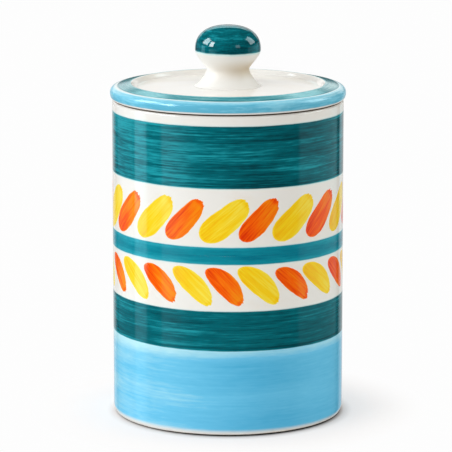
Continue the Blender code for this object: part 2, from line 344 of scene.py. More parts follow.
# Shape of a dab. The powers say how square its two ends are, and the tooth shares how ragged the
# right one is where the dab is orange or yellow. A tooth, waver or streak is a length and a width.
ORANGE_LENGTHS = (0.0254, 0.0284)
ORANGE_WIDTHS = (0.0108, 0.0120)
YELLOW_LENGTHS = (0.0276, 0.0308)
YELLOW_WIDTHS = (0.0113, 0.0139)
SIZE_SPREAD = 0.08
SWELLS = (0.0017, 0.0007)
TAPER_SHARES = (-0.02, -0.17)
LEFT_POWERS = (2.0, 2.3)
RIGHT_POWERS = (2.1, 4.2)
TOOTH_SHARES = (0.24, 0.12)
LEAST_TOOTH_SHARE = 0.03
TOOTH = (0.012, 0.0010)
DAB_WAVER = (0.005, 0.020)
DAB_EDGE_WAVER = 0.0009
DAB_STREAK = (0.014, 0.0008)
BROAD_DAB_STREAK = (0.020, 0.003)

# White paper and backdrop. Close to the jar the paper is seen with its own shading and a faint
# glow, and further out as plain white. Round the foot a painted shadow darkens it: a thin dark ring,
# a little off centre, and the glow fades out there.
BACKGROUND = (0.985, 0.985, 0.985)
PAPER_ALBEDO = (0.86, 0.86, 0.86)
PAPER_SEEN_ALBEDO = (0.58, 0.545, 0.54)
PAPER_GLOW = 0.40
GLOW_SHADOW_EDGE = (-0.0030, 0.0070)
SHADOW_RING_SHIFT = (0.0008, -0.0030)
SHADOW_RING_EDGE = (-0.0021, 0.0021)
PAPER_HALF_WIDTH = 0.50
PAPER_BACK = 1.80
PAPER_FADE = (0.064, 0.105)

# The studio, as radiance: soft light all round, which grows from below to straight above, then what
# the gloss reflects. Angles are degrees round the jar, and degrees up for a rise or fade. Each soft
# box is its left and right edge, how softly each fades, its lowest and highest degree and its
# radiance in red, green and blue.
AMBIENT_LEFT = (0.70, 0.70, 0.695)
AMBIENT_RIGHT = (0.56, 0.535, 0.485)
AMBIENT_SHARES = (0.64, 1.65)
AMBIENT_SLOPES = (-0.2, 1.0)
ROOM_RADIANCE = 0.015
BACKDROP_EDGE = (149.0, 151.0)
BACKDROP_RISE = (2.0, 8.0)
BACKDROP_FADE = (14.0, 20.0)
BACKDROP_RADIANCE = 0.92
SIDE_PANEL_START = (146.0, 164.0)
SIDE_PANEL_END = (173.0, 177.0)
SIDE_PANEL_FADE = (0.0, 3.0)
SIDE_PANEL_RADIANCE = 0.62
FLOOR_FADE = (-14.0, -9.5)
FLOOR_SHARE = 0.35
BOX_SOFTNESS = 1.5
SOFT_BOXES = (
    (-146.0, -109.0, 6.0, 1.5, -30.0, 8.0, (0.12, 0.20, 0.26)),
    (-107.0, -88.0, 1.5, 1.5, -30.0, 10.0, (0.85, 1.78, 2.05)),
    (-70.0, -29.0, 1.5, 40.0, -30.0, 4.0, (0.60, 0.95, 1.05)),
    (74.5, 143.0, 1.5, 8.0, -30.0, 8.0, (0.30, 0.52, 0.56)),
    (147.0, 162.0, 1.5, 10.0, -30.0, 3.0, (0.38, 0.60, 0.66)),
    (-110.0, -79.0, 3.0, 3.0, 15.0, 44.0, (8.6, 9.8, 10.0)),
    (-73.0, -55.0, 2.0, 2.0, 12.0, 38.0, (15.0, 15.5, 15.5)),
    (-181.0, -156.0, 1.0, 14.0, 19.0, 29.0, (1.05, 1.55, 1.60)),
    (156.0, 181.0, 14.0, 1.0, 19.0, 29.0, (1.05, 1.55, 1.60)),
    (88.0, 121.0, 3.0, 3.0, 14.0, 45.0, (3.6, 4.3, 4.4)),
    (28.0, 46.0, 3.0, 3.0, 11.0, 27.0, (1.9, 2.2, 2.3)),
)

# Lamps: name, degrees round the jar, degrees up, width and height, power in watts, and colour
LAMP_DISTANCE = 1.6
LAMPS = (
    ("key", -55.0, 28.0, 0.9, 8.2, (1.0, 1.0, 1.0)),
    ("side", -122.0, 10.0, 0.8, 6.0, (1.0, 1.0, 1.0)),
    ("right", 112.0, 12.0, 0.8, 4.6, (1.0, 0.99, 0.97)),
)

# Camera, found from the circles of the rim, lid and foot in the photograph
PICTURE_PIXELS = 452
CAMERA_FOCUS_PIXELS = 3124.7
SENSOR_WIDTH = 36.0
CAMERA_PLACE = (-0.00099, -1.6, 0.4081)
CAMERA_DOWN_DEGREES = 10.998
CAMERA_NEAREST = 0.01
CAMERA_FURTHEST = 20.0


def between(low, high, share):
    """A number, or a field, that lies a share of the way from one value to another."""
    return low + (high - low) * share


def line(start, end, steps):
    """Evenly spaced points between two points, both ends included."""
    return [tuple(between(a, b, step / steps) for a, b in zip(start, end)) for step in range(steps + 1)]


def arc(centre, radii, start_degrees, end_degrees, steps):
    """Points of an elliptical arc as (radius, height), both ends included."""
    points = []
    for step in range(steps + 1):
        angle = math.radians(start_degrees + (end_degrees - start_degrees) * step / steps)
        points.append((centre[0] + radii[0] * math.cos(angle), centre[1] + radii[1] * math.sin(angle)))
    return points


def curve(start, pull_start, pull_end, end, steps=CURVE_STEPS):
    """Points of a cubic curve between two points, both ends included."""
    points = []
    for step in range(steps + 1):
        t = step / steps
        weights = ((1 - t) ** 3, 3 * (1 - t) ** 2 * t, 3 * (1 - t) * t ** 2, t ** 3)
        corners = (start, pull_start, pull_end, end)
        points.append(tuple(sum(w * c[axis] for w, c in zip(weights, corners)) for axis in (0, 1)))
    return points


def add_object(name, data):
    """A new object with this data, linked to the scene."""
    added = bpy.data.objects.new(name, data)
    bpy.context.scene.collection.objects.link(added)
    return added


def map_levels(outline, count, plain_within):
    """How far up a piece's colour map each point of its outline lies, from 0 to 1.

    What lies nearer to the axis than plain_within has no pattern and gets little of the map.
    """
    levels = [0.0]
    for start, end in zip(outline, outline[1:] + outline[:1]):
        room = 1.0 if max(start[0], end[0]) > plain_within else PLAIN_ROOM_SHARE
        levels.append(levels[-1] + math.dist(start, end) * room)
    return [level / levels[count] for level in levels]


def turned_rows(outline, level, sides, wobble):
    """The vertices of a turned outline, and their numbers in one row for each of its points."""
    vertices = []
    rows = []
    for radius, height in outline:
        row = []
        for side in range(sides if radius > 0.0 else 1):
            angle = 2 * math.pi * side / sides
            out = radius - wobble(angle, height + level) if radius > 0.0 else 0.0
            row.append(len(vertices))
            vertices.append((out * math.sin(angle), -out * math.cos(angle), height + level))
        rows.append(row)
    return vertices, rows


def turned(name, outline, level, sides, wobble, plain_within=0.0):
    """Turn an outline of (radius, height) points about Z into a closed mesh, raised to a level.

    Points on the axis become single vertices. Where the outline doesn't end on the axis, it is
    closed as a ring. The wobble moves the wall in by a small hand-made amount. The mesh has its
    own colour map, which runs round the piece and along its outline.
    """
    vertices, rows = turned_rows(outline, level, sides, wobble)
    pairs = list(zip(rows, rows[1:]))
    if outline[0][0] > 0.0:
        pairs.append((rows[-1], rows[0]))
    levels = map_levels(outline, len(pairs), plain_within)
    faces = []
    spots = []
    for (lower, upper), low, high in zip(pairs, levels, levels[1:]):
        for side in range(sides):
            corners = {}
            for row, column, up in ((lower, side, low), (lower, side + 1, low),
                                    (upper, side + 1, high), (upper, side, high)):
                corners.setdefault(row[column % len(row)], (column / sides, up))
            if len(corners) > 2:
                faces.append(list(corners))
                spots.extend(corners.values())
    mesh = bpy.data.meshes.new(name)
    mesh.from_pydata(vertices, [], faces)
    colour_map = mesh.uv_layers.new(name="OFBake")
    colour_map.data.foreach_set("uv", [share for spot in spots for share in spot])
    mesh.validate()
    mesh.shade_smooth()
    mesh.set_sharp_from_angle(angle=math.radians(SMOOTH_LIMIT_DEGREES))
    return add_object(name, mesh)


def jar_wobble(angle, height):
    """A slow swell of the cast wall, which moves it in by 0.14 mm at most."""
    slow = math.sin(2 * angle + 0.6) * math.sin(31.0 * height + 0.4)
    fast = math.sin(5 * angle + 1.9 + 40.0 * height)
    return JAR_SWELL * (1.4 + slow + 0.4 * fast)


def lid_wobble(angle, height):
    """The lid's edge was finished by hand, which moves it in by 0.12 mm at most."""
    return LID_SWELL * (1.5 + math.sin(3 * angle + 0.8) + 0.5 * math.sin(7 * angle + 2.1))


def still(angle, height):
    """No wobble."""
    return 0.0


def jar_outline():
    """From the centre of the underside, round the foot, up the wall, over the rim and down inside."""
    underside_end = (FOOT_INNER_RADIUS - FOOT_RECESS_SLOPE, FOOT_RECESS)
    underside = line((0.0, FOOT_RECESS), underside_end, FLAT_STEPS)
    foot = [(FOOT_INNER_RADIUS, 0.0)]
    foot += arc((FOOT_RADIUS, FOOT_ROUND_HEIGHT), (FOOT_INSET, FOOT_ROUND_HEIGHT), -90, 0, ROUND_STEPS)
    wall_top = JAR_HEIGHT - RIM_OUTER_ROUND
    wall = line((JAR_RADIUS, FOOT_ROUND_HEIGHT), (JAR_RADIUS, wall_top), WALL_STEPS)[1:-1]
    outer_round = (JAR_RADIUS - RIM_OUTER_ROUND, wall_top)
    rim = arc(outer_round, (RIM_OUTER_ROUND, RIM_OUTER_ROUND), 0, 90, EDGE_STEPS)
    inner_round = (JAR_INNER_RADIUS + RIM_INNER_ROUND, JAR_HEIGHT - RIM_INNER_ROUND)
    rim += arc(inner_round, (RIM_INNER_ROUND, RIM_INNER_ROUND), 90, 180, EDGE_STEPS)
    floor_level = FOOT_RECESS + JAR_FLOOR
    corner = (JAR_INNER_RADIUS - JAR_INNER_CORNER, floor_level + JAR_INNER_CORNER)
    inner_wall = line((JAR_INNER_RADIUS, inner_round[1]), (JAR_INNER_RADIUS, corner[1]), CURVE_STEPS)[1:-1]
    inside = arc(corner, (JAR_INNER_CORNER, JAR_INNER_CORNER), 0, -90, ROUND_STEPS)
    inside += line(inside[-1], (0.0, floor_level), FLAT_STEPS)[1:]
    return underside + foot + wall + rim + inner_wall + inside


def lid_top():
    """From the vent's upper edge, out over the dish, cove, ring and roll, to under the lip."""
    dish = line((VENT_RADIUS, KNOB_SEAT_HEIGHT), (KNOB_FOOT_RADIUS, KNOB_SEAT_HEIGHT), SEAT_STEPS)
    dish += line((KNOB_FOOT_RADIUS, KNOB_SEAT_HEIGHT), (COVE_RADIUS, COVE_HEIGHT), DISH_STEPS)[1:-1]
    ease = EASE_SHARE * COVE_WIDTH
    cove = curve(
        (COVE_RADIUS, COVE_HEIGHT),
        (COVE_RADIUS + ease, COVE_HEIGHT),
        (CREST_RADIUS - ease, CREST_HEIGHT),
        (CREST_RADIUS, CREST_HEIGHT),
    )
    ring = line((CREST_RADIUS, CREST_HEIGHT), (RIDGE_RADIUS, RIDGE_HEIGHT), EDGE_STEPS)[1:-1]
    roll = arc((RIDGE_RADIUS, ROLL_WIDEST_HEIGHT), (ROLL_WIDTH, ROLL_RISE), 90, 0, CURVE_STEPS)
    lip = arc((LIP_RADIUS, ROLL_WIDEST_HEIGHT), (LIP_TUCK, ROLL_WIDEST_HEIGHT), 0, -90, ROUND_STEPS)
    return dish + cove + ring + roll + lip[1:]


def lid_outline():
    """The lid's upper side, then its seat, the spigot with its bead, and the underside."""
    lip_inner_radius = SEAL_FLANGE_RADIUS + TOUCH_GAP
    seat = [(lip_inner_radius, 0.0), (lip_inner_radius, SEAT_HEIGHT), (SPIGOT_RADIUS, SEAT_HEIGHT)]
    bead_radius = SPIGOT_RADIUS + TOUCH_GAP + SPIGOT_BEAD
    spigot = [(SPIGOT_RADIUS, SPIGOT_BEAD_TOP), (bead_radius, SPIGOT_BEAD_TOP)]
    bead = (SPIGOT_BEAD, SPIGOT_BEAD)
    bead_level = SPIGOT_BOTTOM + SPIGOT_BEAD
    spigot += arc((bead_radius - SPIGOT_BEAD, bead_level), bead, 0, -90, FLAT_STEPS)
    spigot += arc((SPIGOT_INNER_RADIUS + SPIGOT_BEAD, bead_level), bead, -90, -180, FLAT_STEPS)
    ceiling = COVE_HEIGHT - LID_THICKNESS
    corner = (SPIGOT_INNER_RADIUS - SPIGOT_CORNER, ceiling - SPIGOT_CORNER)
    underside = arc(corner, (SPIGOT_CORNER, SPIGOT_CORNER), 0, 90, CORNER_STEPS)
    centre = KNOB_SEAT_HEIGHT - LID_THICKNESS
    underside += [(KNOB_FOOT_RADIUS, centre), (VENT_RADIUS, centre)]
    return lid_top() + seat + spigot + underside


def pulled_curve(start, end, pull_shares):
    """A curve between two points, pulled by two that lie shares of the way out and up."""
    pulls = []
    for out_share, up_share in pull_shares:
        pulls.append((between(start[0], end[0], out_share), between(start[1], end[1], up_share)))
    return curve(start, *pulls, end)


def dome_points():
    """The knob's crown: a flattened dome from its widest edge up to the axis."""
    dome_height = KNOB_HEIGHT - KNOB_WIDEST_HEIGHT
    points = []
    for step in range(1, WALL_STEPS + 1):
        angle = math.pi / 2 * step / WALL_STEPS
        out = math.cos(angle) ** (2 / DOME_POWER) if step < WALL_STEPS else 0.0
        up = math.sin(angle) ** (2 / DOME_POWER)
        points.append((KNOB_RADIUS * out, KNOB_WIDEST_HEIGHT + dome_height * up))
    return points


def hollow_points():
    """The inside of the hollow knob, from the axis down to its open foot."""
    hollow_top = KNOB_HEIGHT - KNOB_CROWN_WALL
    widest = KNOB_HEIGHT * HOLLOW_WIDEST_SHARE
    hollow = arc((0.0, widest), (KNOB_HOLLOW_RADIUS, hollow_top - widest), 90, 0, CORNER_STEPS)
    hollow[0] = (0.0, hollow_top)
    return hollow + [(KNOB_BORE_RADIUS, KNOB_NECK_HEIGHT), (KNOB_BORE_RADIUS, -TOUCH_GAP)]


def knob_outline():
    """From the axis over the crown to the foot, which the slip joins to the dish, and up inside."""
    neck = (KNOB_NECK_RADIUS, KNOB_NECK_HEIGHT)
    flare = pulled_curve((KNOB_FOOT_RADIUS, KNOB_FOOT_EDGE), neck, FLARE_SHARES)
    undercut = pulled_curve(neck, (KNOB_RADIUS, KNOB_WIDEST_HEIGHT), UNDERCUT_SHARES)
    slip_edge = (KNOB_FOOT_RADIUS + KNOB_SLIP_WIDTH, -TOUCH_GAP)
    slip = curve(slip_edge, (KNOB_FOOT_RADIUS, -TOUCH_GAP / 2), flare[1], flare[3], SLIP_STEPS)
    outside = slip + flare[4:] + undercut[1:] + dome_points()
    return list(reversed(outside)) + list(reversed(hollow_points()))


def seal_outline():
    """A flange between rim and seat, and a band with one fin that wipes the jar's inner wall."""
    fin_level = between(SEAL_BOTTOM, SEAL_FLANGE_BOTTOM, EASE_SHARE)
    return [
        (SEAL_INNER_RADIUS, SEAL_TOP),
        (SEAL_FLANGE_RADIUS, SEAL_TOP),
        (SEAL_FLANGE_RADIUS, SEAL_FLANGE_BOTTOM),
        (SEAL_BAND_RADIUS, SEAL_FLANGE_BOTTOM),
        (SEAL_BAND_RADIUS, fin_level),
        (SEAL_FIN_RADIUS, fin_level + SEAL_FIN_RISE),
        (SEAL_FIN_RADIUS, fin_level + SEAL_FIN_RISE - SEAL_FIN_THICKNESS),
        (SEAL_BAND_RADIUS, fin_level - SEAL_FIN_THICKNESS),
        (SEAL_BAND_RADIUS, SEAL_BOTTOM),
        (SEAL_INNER_RADIUS, SEAL_BOTTOM),
    ]


def linear(seen):
    """A colour as seen, from 0 to 255, as the numbers that a shader takes."""
    return (*[((channel / 255 + 0.055) / 1.055) ** 2.4 for channel in seen], 1.0)


class Field:
    """A value that varies over a surface. Sums and products of fields add Math nodes."""

    def __init__(self, graph, socket):
        self.graph = graph
        self.socket = socket

    def __add__(self, other):
        return self.graph.math("ADD", self, other)

    def __sub__(self, other):
        return self.graph.math("SUBTRACT", self, other)

    def __mul__(self, other):
        return self.graph.math("MULTIPLY", self, other)

    def __truediv__(self, other):
        return self.graph.math("DIVIDE", self, other)

    def __rsub__(self, other):
        return self.graph.math("SUBTRACT", other, self)

    __radd__ = __add__
    __rmul__ = __mul__


class Graph:
    """Short calls that add nodes to a material or world. Most return the node's output as a Field."""

    def __init__(self, owner):
        self.owner = owner
        owner.use_nodes = True
        self.tree = owner.node_tree
        self.shader = self.tree.nodes.get("Principled BSDF")

    def node(self, kind, *values, **settings):
        node = self.tree.nodes.new(kind)
        for setting, value in settings.items():
            setattr(node, setting, value)
        for socket, value in zip(node.inputs, values):
            self.feed(socket, value)
        return node

    def feed(self, socket, value):
        if isinstance(value, Field):
            self.tree.links.new(value.socket, socket)
        elif value is not None:
            socket.default_value = value

    def field(self, node, output=0):
        return Field(self, node.outputs[output])

    def math(self, operation, *values):
        return self.field(self.node("ShaderNodeMath", *values, operation=operation))

    def place(self, kind="Object"):
        """The point of the surface, or a world's direction, as three fields."""
        coordinates = self.node("ShaderNodeTexCoord")
        parts = self.node("ShaderNodeSeparateXYZ", self.field(coordinates, kind))
        return [self.field(parts, axis) for axis in range(3)]

    def length(self, x, y):
        return self.math("SQRT", x * x + y * y)

    def noise(self, x, y, z, detail=2.0, roughness=0.5):
        """Noise from 0 to 1 round 0.5, with features about one unit long."""
        point = self.field(self.node("ShaderNodeCombineXYZ", x, y, z))
        node = self.node("ShaderNodeTexNoise", point)
        node.inputs["Scale"].default_value = 1.0
        node.inputs["Detail"].default_value = detail
        node.inputs["Roughness"].default_value = roughness
        return self.field(node, "Fac")

    def streaks(self, point, size, detail=2.0, roughness=0.5, offset=0.0):
        """Noise in streaks of a length along the first two of a point's fields and a width."""
        x, y, across = point
        length, width = size
        return self.noise(x / length, y / length, across / width + offset, detail, roughness)

    def step(self, value, low, high):
        """Zero below low, one above high and smooth between."""
        node = self.node("ShaderNodeMapRange", value, low, high, interpolation_type="SMOOTHSTEP")
        return self.field(node)

    def window(self, value, start, end):
        """One inside and zero outside, with a smooth start and end between two values each."""
        return self.step(value, *start) * (1.0 - self.step(value, *end))

    def stripe(self, value, centre, half_width):
        """One along a thin line and zero off it."""
        return self.window(value, (centre - half_width, centre), (centre, centre + half_width))

    def mix(self, share, first, second):
        """A colour between two colours."""
        node = self.node("ShaderNodeMix", data_type="RGBA")
        for socket, value in zip((node.inputs[0], node.inputs[6], node.inputs[7]), (share, first, second)):
            self.feed(socket, value)
        return self.field(node, 2)

    def ramp(self, share, stops, interpolation="LINEAR"):
        """A colour from a list of (share, colour as a shader takes it)."""
        node = self.node("ShaderNodeValToRGB", share)
        node.color_ramp.interpolation = interpolation
        elements = node.color_ramp.elements
        while len(elements) < len(stops):
            elements.new(1.0)
        for element, (position, colour) in zip(elements, stops):
            element.position = position
            element.color = colour
        return self.field(node)

    def finish(self, colour, roughness, height):
        """Give the shader its colour, roughness and a relief in metres."""
        self.feed(self.shader.inputs["Base Color"], colour)
        self.feed(self.shader.inputs["Roughness"], roughness)
        bump = self.node("ShaderNodeBump")
        bump.inputs["Distance"].default_value = 1.0
        self.feed(bump.inputs["Height"], height)
        self.tree.links.new(bump.outputs["Normal"], self.shader.inputs["Normal"])
        self.shader.inputs["IOR"].default_value = GLAZE_IOR
        return self.owner


def brushed(graph, load, colours):
    """The colour of brushed glaze, from how much of it lies there."""
    loads = (THIN_LOAD, EVEN_LOAD, THICK_LOAD)
    return graph.ramp(load, [(place, linear(colour)) for place, colour in zip(loads, colours)])


def pigment(graph, point, size):
    """How much brushed colour lies, round EVEN_LOAD: long, short and broad streaks, and patches."""
    length, width = size
    fine = graph.streaks(point, size, 3.0, 0.6)
    grain = graph.streaks(point, (length / 5, width), 2.0, 0.5, 7.3)
    broad = graph.streaks(point, (2 * length, 4 * width), 3.0, 0.6)
    slow = graph.streaks(point, (2 * length, 16 * width), 2.0, 0.5, 2.1)
    return fine * 0.85 + grain * 0.40 + broad * 0.80 + slow * 0.60 - 0.825


def toned(load, contrast, mean=EVEN_LOAD):
    """The same streaks, weaker and round a mean."""
    return (load - EVEN_LOAD) * contrast + mean


def ground_glaze(graph, point):
    """Warm white glaze with faint patches."""
    return brushed(graph, graph.streaks(point, GROUND_PATCH, 3.0), GROUND)


def gloss(graph, point, limits):
    """Roughness that changes a little from place to place."""
    return between(*limits, graph.streaks(point, GLOSS_PATCH))


def ripple(graph, point):
    """The glaze's own soft waves, in metres."""
    slow = graph.streaks(point, SLOW_RIPPLE, 1.0)
    fine = graph.streaks(point, FINE_RIPPLE, 1.0)
    return slow * SLOW_RIPPLE_HEIGHT + fine * FINE_RIPPLE_HEIGHT


def glazed(graph, point, colour, bare_and_shade, rougher, relief):
    """Clear glaze over the colours and their relief, and gritty dark clay where unglazed, partly painted
    shade.
    """
    grit = graph.streaks(point, CLAY_GRIT, 3.0, 0.6)
    colour = graph.mix(bare_and_shade, colour, brushed(graph, grit, CLAY_AND_SHADE))
    roughness = gloss(graph, point, GLAZE_ROUGHNESS) + bare_and_shade * CLAY_ROUGHER + rougher
    height = ripple(graph, point) + relief + bare_and_shade * grit * GRIT_HEIGHT
    return graph.finish(colour, roughness, height)


def above(graph, level, edge, softness=EDGE_SOFTNESS):
    """One above a painted edge and zero below it."""
    return graph.step(level, edge - softness, edge + softness)


def banded(graph, level, colour, edge, paint, fringe):
    """The colours so far, with a paint over all that lies above an edge.

    The teal bleeds into the white over a thin fringe, below the edge or, if minus, above it.
    """
    painted = graph.mix(above(graph, level, edge), colour, paint)
    if fringe:
        bleed = graph.stripe(level, edge - fringe / 3, abs(fringe))
        painted = graph.mix(bleed * FRINGE_SHARE, painted, linear(TEAL_FRINGE))
    return painted


def dab_table(angles, leans, turn_degrees, seed):
    """Stops for a ramp with one step for each dab round a row: its shift, its lean and its size.

    Each is a share of the most that it may be. The dabs that the photograph shows come from their
    angles and leans, and the hidden ones lead on evenly from the last of these to the first.
    """
    chance = random.Random(seed)
    shifts = [angle - turn_degrees - PITCH_DEGREES * (FIRST_DAB + i) for i, angle in enumerate(angles)]
    hidden = DABS_ROUND - len(angles)
    stops = []
    for place in range(DABS_ROUND):
        if place < len(angles):
            shift = shifts[place]
            lean = leans[place] - MEAN_LEAN_DEGREES
        else:
            shift = between(shifts[-1], shifts[0], (place - len(angles) + 1) / (hidden + 1))
            shift += chance.uniform(-0.5, 0.5)
            lean = chance.uniform(-3.0, 3.0)
        shares = (shift / MOST_SHIFT_DEGREES, lean / MOST_LEAN_CHANGE_DEGREES, chance.uniform(-1.0, 1.0))
        index = (place + FIRST_DAB) % DABS_ROUND
        stops.append((index / DABS_ROUND, (*[0.5 + share / 2 for share in shares], 1.0)))
    return sorted(stops)


def dab_axes(graph, v, offset, shift, lean, size):
    """How far a point lies from a dab's middle, along the dab and across it."""
    shift = shift * (math.radians(MOST_SHIFT_DEGREES) * JAR_RADIUS)
    lean = lean * math.radians(MOST_LEAN_CHANGE_DEGREES) + math.radians(MEAN_LEAN_DEGREES)
    u = offset * PITCH_LENGTH + v * SHEAR - shift
    v = v + size * MOST_RISE
    sine = graph.math("SINE", lean)
    cosine = graph.math("COSINE", lean)
    return u * sine + v * cosine, u * cosine - v * sine


def dab_outline(graph, along, across, size, upper, yellow, seed):
    """A point's place in a dab as shares of its half length and width, and how far inside it lies.

    The brush lands at the left end, swells out to one side and lifts off raggedly at the right.
    """
    length = between(between(*ORANGE_LENGTHS, upper), between(*YELLOW_LENGTHS, upper), yellow)
    width = between(between(*ORANGE_WIDTHS, upper), between(*YELLOW_WIDTHS, upper), yellow)
    half_length = length * 0.5 * (size * SIZE_SPREAD / 2 + 1.0)
    half_width = width * 0.5 * (size * SIZE_SPREAD + 1.0)
    teeth = graph.noise(across / TOOTH[1], seed, along / TOOTH[0], 1.0) - 0.5
    waver = graph.noise(along / DAB_WAVER[0], seed, across / DAB_WAVER[1]) - 0.5
    t = along / half_length
    lifting = graph.step(t, 0.55, 1.0)
    t = t + teeth * (lifting * between(*TOOTH_SHARES, yellow) + LEAST_TOOTH_SHARE)
    skew = (1.0 - t * t) * between(*SWELLS, upper)
    taper = t * between(*TAPER_SHARES, upper) + 1.0
    side = (across - skew + waver * DAB_EDGE_WAVER) / (half_width * taper)
    to_right = graph.step(t, -0.3, 0.3)
    power = between(between(*LEFT_POWERS, upper), between(*RIGHT_POWERS, upper), to_right)
    inside = 1.0 - side * side - graph.math("POWER", graph.math("ABSOLUTE", t), power)
    return t, side, inside


def dab_paint(graph, along, across, t, side, inside, yellow, seed, side_shade):
    """Colour lies thick where the brush lands and on the last tip, in streaks between, and darker to the
    right as painted shade.
    """
    fine = graph.noise(along / DAB_STREAK[0], across / DAB_STREAK[1], seed, 2.0, 0.6) - 0.5
    length, width = BROAD_DAB_STREAK
    broad = graph.noise(along / length, across / width, seed + 5.0, 1.0) - 0.5
    tip = graph.step(t, 0.74, 0.95)
    rim = 1.0 - graph.step(inside, 0.05, 0.24)
    load = fine * 0.90 + broad * 0.45 + tip * 0.32 - t * 0.20 - side * 0.06 + side_shade * 1.2 + 0.45
    orange = brushed(graph, load - rim * 0.20, ORANGE)
    lemon = brushed(graph, load * 0.75 - rim * 0.20 + 0.14, YELLOW)
    return graph.mix(yellow, orange, lemon)


def dab(graph, v, sheared, upper, which, tables, side_shade):
    """One candidate dab for each point: how far inside it the point lies, and its colour.

    v runs up the wall from the row's middle, with the lower row mirrored. The candidates are the
    dabs on either side of the point, counted along the leaning direction.
    """
    number = graph.math("FLOOR", sheared) + which
    index = graph.math("FLOORED_MODULO", number, float(DABS_ROUND))
    rows = [graph.ramp((index + 0.5) / DABS_ROUND, table, "CONSTANT") for table in tables]
    parts = graph.node("ShaderNodeSeparateColor", graph.mix(upper, *rows))
    shift, lean, size = [(graph.field(parts, channel) - 0.5) * 2.0 for channel in range(3)]
    yellow = graph.math("ABSOLUTE", upper - graph.math("FLOORED_MODULO", index, 2.0))
    seed = index * 3.7 + upper * 91.0
    along, across = dab_axes(graph, v, sheared - number, shift, lean, size)
    t, side, inside = dab_outline(graph, along, across, size, upper, yellow, seed)
    return inside, dab_paint(graph, along, across, t, side, inside, yellow, seed, side_shade)


def dabbed_white(graph, u, z, ground, side_shade):
    """White glaze with both rows of dabs, and how thick the dabs stand on it."""
    upper = graph.step(z, *ROWS_MEET)
    v = (z - between(*ROW_HEIGHTS, upper)) * (upper * 2.0 - 1.0)
    turn = between(*ROW_TURNS_DEGREES, upper)
    sheared = (u - turn * (math.radians(1.0) * JAR_RADIUS) - v * SHEAR) / PITCH_LENGTH
    tables = [dab_table(*row) for row in zip(ROW_ANGLES, ROW_LEANS, ROW_TURNS_DEGREES, ROW_SEEDS)]
    colour = ground
    relief = 0.0
    for which in (0.0, 1.0):
        inside, paint = dab(graph, v, sheared, upper, which, tables, side_shade)
        colour = graph.mix(graph.step(inside, 0.0, 0.06), colour, paint)
        relief = graph.step(inside, 0.0, 0.22) * DAB_HEIGHT + relief
    return colour, relief


def teal_bands(graph, level, streaks):
    """The colours of the jar's lower and upper teal bands."""
    edges = 0.0
    for height, half_width, more in EDGE_STREAKS:
        edges = graph.stripe(level, height, half_width) * more + edges
    lower = brushed(graph, toned(streaks, LOWER_TEAL_CONTRAST) + edges, TEAL)
    return lower, brushed(graph, streaks + edges, TEAL)


def mid_band(graph, point, level, load):
    """The colour of the thin teal band. Its streaks differ from the other bands'."""
    x, y, z = point
    middle = (LOWER_WHITE_TOP + MID_TEAL_TOP) / 2
    pool = graph.stripe(level, middle, MID_TEAL_POOL_HALF_WIDTH) * MID_TEAL_POOL
    streaks = toned(pigment(graph, (y, x, z), MID_TEAL_STREAK), MID_TEAL_CONTRAST, MID_TEAL_LOAD)
    return brushed(graph, streaks + pool + load, MID_TEAL)


def blue_band(graph, point, level, side_shade, full_front):
    """The colour of the light blue band."""
    long_streaks = graph.streaks(point, LONG_BLUE_STREAK, 3.0, 0.6) - 0.5
    short_streaks = graph.streaks(point, SHORT_BLUE_STREAK, offset=5.0) - 0.5
    slow = graph.streaks(point, BLUE_PATCH, offset=3.0) - 0.5
    pale_level = level + (long_streaks + slow) * PALE_WAVER
    pale_top = graph.step(pale_level, *[BLUE_TOP - depth for depth in PALE_DEPTHS]) * PALE_SHARE
    streaks = long_streaks * 0.24 + short_streaks * 0.16 + slow * 0.55
    load = streaks + side_shade * BLUE_SIDE_SHADE + full_front
    return brushed(graph, load - pale_top + BLUE_LOAD, BLUE)


def jar_bare_and_shade(graph, z, radius, waver):
    """One on the unglazed clay of the foot ring and the rim, whose dark tone is partly painted shade, and
    zero on glaze.
    """
    foot = 1.0 - graph.step(z + waver * FOOT_EDGE_WAVER, *FOOT_GLAZE_START)
    inner_foot = graph.step(radius, FOOT_INNER_RADIUS - FOOT_RECESS_SLOPE, FOOT_INNER_RADIUS)
    rim = graph.step(z, *[JAR_HEIGHT - depth for depth in RIM_GLAZE_END])
    return graph.math("MAXIMUM", foot * inner_foot, rim)


